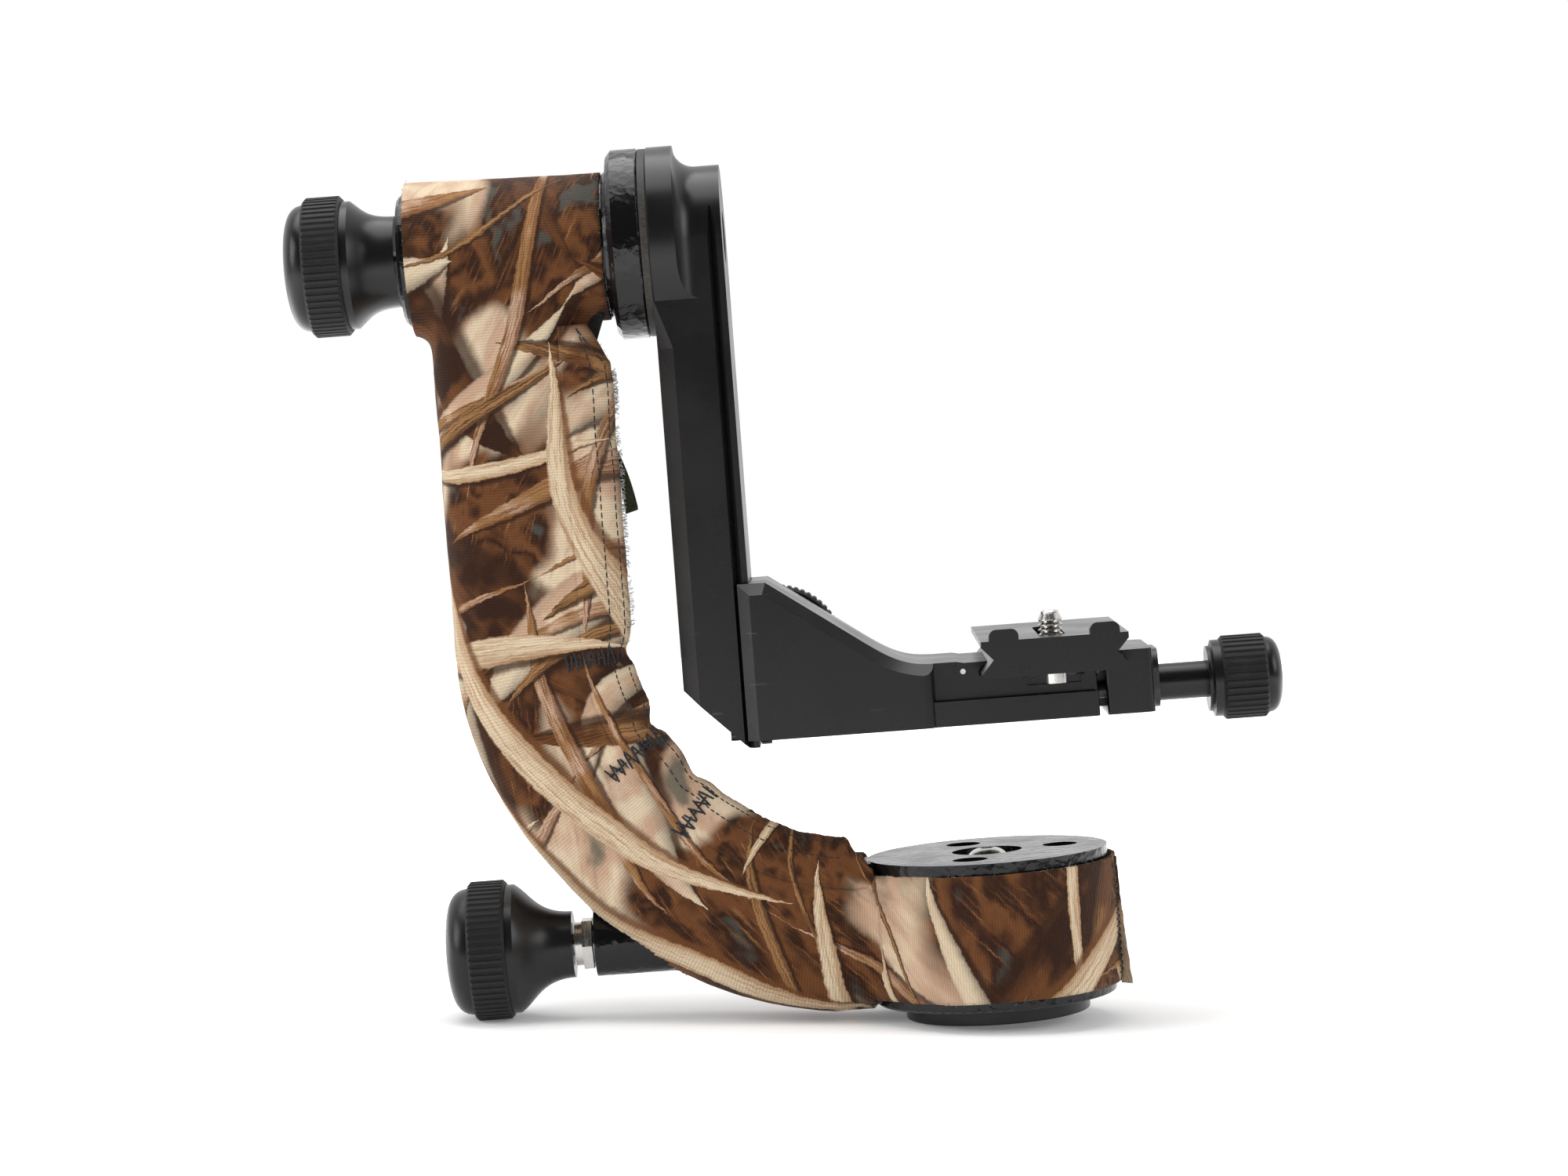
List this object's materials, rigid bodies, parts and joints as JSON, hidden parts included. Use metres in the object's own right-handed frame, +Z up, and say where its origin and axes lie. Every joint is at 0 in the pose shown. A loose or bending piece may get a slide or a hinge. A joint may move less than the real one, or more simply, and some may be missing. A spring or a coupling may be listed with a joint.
{
  "type": "gimbal tripod head",
  "caption": "Side-mount gimbal head with a sleeved C-shaped yoke, panning base, tilting swing arm, height-adjustable platform, dovetail clamp, lens plate and lock knobs.",
  "frame": {"origin": "centre of the pan base's underside, on the pan axis", "axes": "+Z up along the pan axis; the tilt axis runs along X; the platform and clamp reach towards +X; the lens plate runs along Y"},
  "size_m": [0.2537, 0.0838, 0.2344],
  "materials": {
    "black_anodised": "satin black anodised aluminium",
    "black_enamel": "glossy hammered black enamel",
    "steel": "bright stainless steel",
    "dark_steel": "black oxide steel",
    "rubber": "matte ribbed rubber",
    "fabric": "knitted fabric printed with brown reeds",
    "friction": "grey-brown friction disc",
    "nylon": "natural nylon"
  },
  "bodies": {
    "base": {"pan_base": "black_anodised", "base_screws": "dark_steel", "pan_axle": "steel", "pan_bearing_inner": "steel", "pan_bearing_balls": "steel", "pan_brake_drum": "steel", "retaining_washer": "dark_steel", "centre_bolt": "steel"},
    "yoke": {"yoke_casting": "black_enamel", "sleeve": "fabric", "bearing_retainer": "black_anodised", "retainer_screws": "dark_steel", "bearing_spacer": "steel", "pan_bearing_outer": "steel", "tilt_bearing_outer": "steel", "pan_brake_bushing": "steel", "hub_end_plug": "black_anodised"},
    "pan_plunger": {"pan_brake_pad": "nylon", "pan_push_rod": "steel"},
    "pan_knob": {"pan_knob_body": "black_anodised", "pan_knob_grip": "rubber", "pan_knob_stud": "steel"},
    "tilt_plunger": {"tilt_brake_pad": "nylon"},
    "tilt_knob": {"tilt_knob_body": "black_anodised", "tilt_knob_grip": "rubber", "tilt_knob_stud": "steel"},
    "swing": {"swing_arm": "black_anodised", "tilt_axle": "steel", "tilt_bearing_inner": "steel", "tilt_bearing_balls": "steel", "tilt_retaining_ring": "dark_steel", "friction_washer": "friction", "axle_bolt": "dark_steel", "rail_stop_screw": "dark_steel"},
    "platform": {"platform_bracket": "black_anodised", "jaw_pin": "steel", "guide_rods": "dark_steel"},
    "height_clamp": {"height_gib": "black_anodised"},
    "height_knob": {"height_knob_body": "black_anodised", "height_knob_grip": "rubber", "height_knob_stud": "steel"},
    "jaw": {"moving_jaw": "black_anodised", "jaw_wear_plate": "dark_steel"},
    "clamp_knob": {"clamp_knob_body": "black_anodised", "clamp_knob_grip": "rubber", "clamp_knob_stud": "steel", "clamp_knob_shaft": "black_anodised"},
    "plate": {"lens_plate": "black_anodised", "plate_stop_screws": "steel"},
    "screw_washer": {"slot_washer": "steel"},
    "camera_screw": {"camera_screw": "steel"}
  },
  "joints": [
    {"name": "pan", "type": "hinge", "parent": "base", "child": "yoke", "pos_m": [0, 0, 0.025], "axis": [0, 0, 1], "continuous": true},
    {"name": "pan_lock", "type": "hinge", "parent": "pan_plunger", "child": "pan_knob", "pos_m": [-0.13, 0, 0.026], "axis": [-1, 0, 0], "range_deg": [0, 360]},
    {"name": "pan_brake", "type": "slide", "parent": "yoke", "child": "pan_plunger", "axis": [-1, 0, 0], "range_m": [0, 0.0015]},
    {"name": "tilt", "type": "hinge", "parent": "yoke", "child": "swing", "pos_m": [-0.08, 0, 0.2095], "axis": [1, 0, 0], "continuous": true},
    {"name": "tilt_lock", "type": "hinge", "parent": "tilt_plunger", "child": "tilt_knob", "pos_m": [-0.16, 0, 0.2095], "axis": [-1, 0, 0], "range_deg": [0, 360]},
    {"name": "tilt_brake", "type": "slide", "parent": "yoke", "child": "tilt_plunger", "axis": [-1, 0, 0], "range_m": [0, 0.0015]},
    {"name": "platform_height", "type": "slide", "parent": "swing", "child": "platform", "axis": [0, 0, 1], "range_m": [0, 0.085]},
    {"name": "height_lock", "type": "hinge", "parent": "height_clamp", "child": "height_knob", "pos_m": [-0.0522, 0.03, 0.0973], "axis": [0, 1, 0], "range_deg": [0, 360]},
    {"name": "height_clamp_slide", "type": "slide", "parent": "platform", "child": "height_clamp", "axis": [0, 1, 0], "range_m": [0, 0.0015]},
    {"name": "clamp_screw", "type": "hinge", "parent": "jaw", "child": "clamp_knob", "pos_m": [0.07, 0, 0.084], "axis": [1, 0, 0], "range_deg": [0, 900]},
    {"name": "jaw_slide", "type": "slide", "parent": "platform", "child": "jaw", "axis": [1, 0, 0], "range_m": [0, 0.00375]},
    {"name": "plate_slide", "type": "slide", "parent": "platform", "child": "plate", "axis": [0, 1, 0], "range_m": [-0.006, 0.006]},
    {"name": "screw_along_slot", "type": "slide", "parent": "plate", "child": "screw_washer", "axis": [0, 1, 0], "range_m": [-0.005, 0.024]},
    {"name": "camera_screw_turn", "type": "hinge", "parent": "screw_washer", "child": "camera_screw", "pos_m": [0.02, -0.02, 0.1], "axis": [0, 0, 1], "continuous": true}
  ],
  "couplings": [
    {"joint": "pan_brake", "follows": "pan_lock", "m_per_rad": 0.00023873},
    {"joint": "tilt_brake", "follows": "tilt_lock", "m_per_rad": 0.00023873},
    {"joint": "height_clamp_slide", "follows": "height_lock", "m_per_rad": 0.00023873},
    {"joint": "jaw_slide", "follows": "clamp_screw", "m_per_rad": 0.00023873}
  ]
}
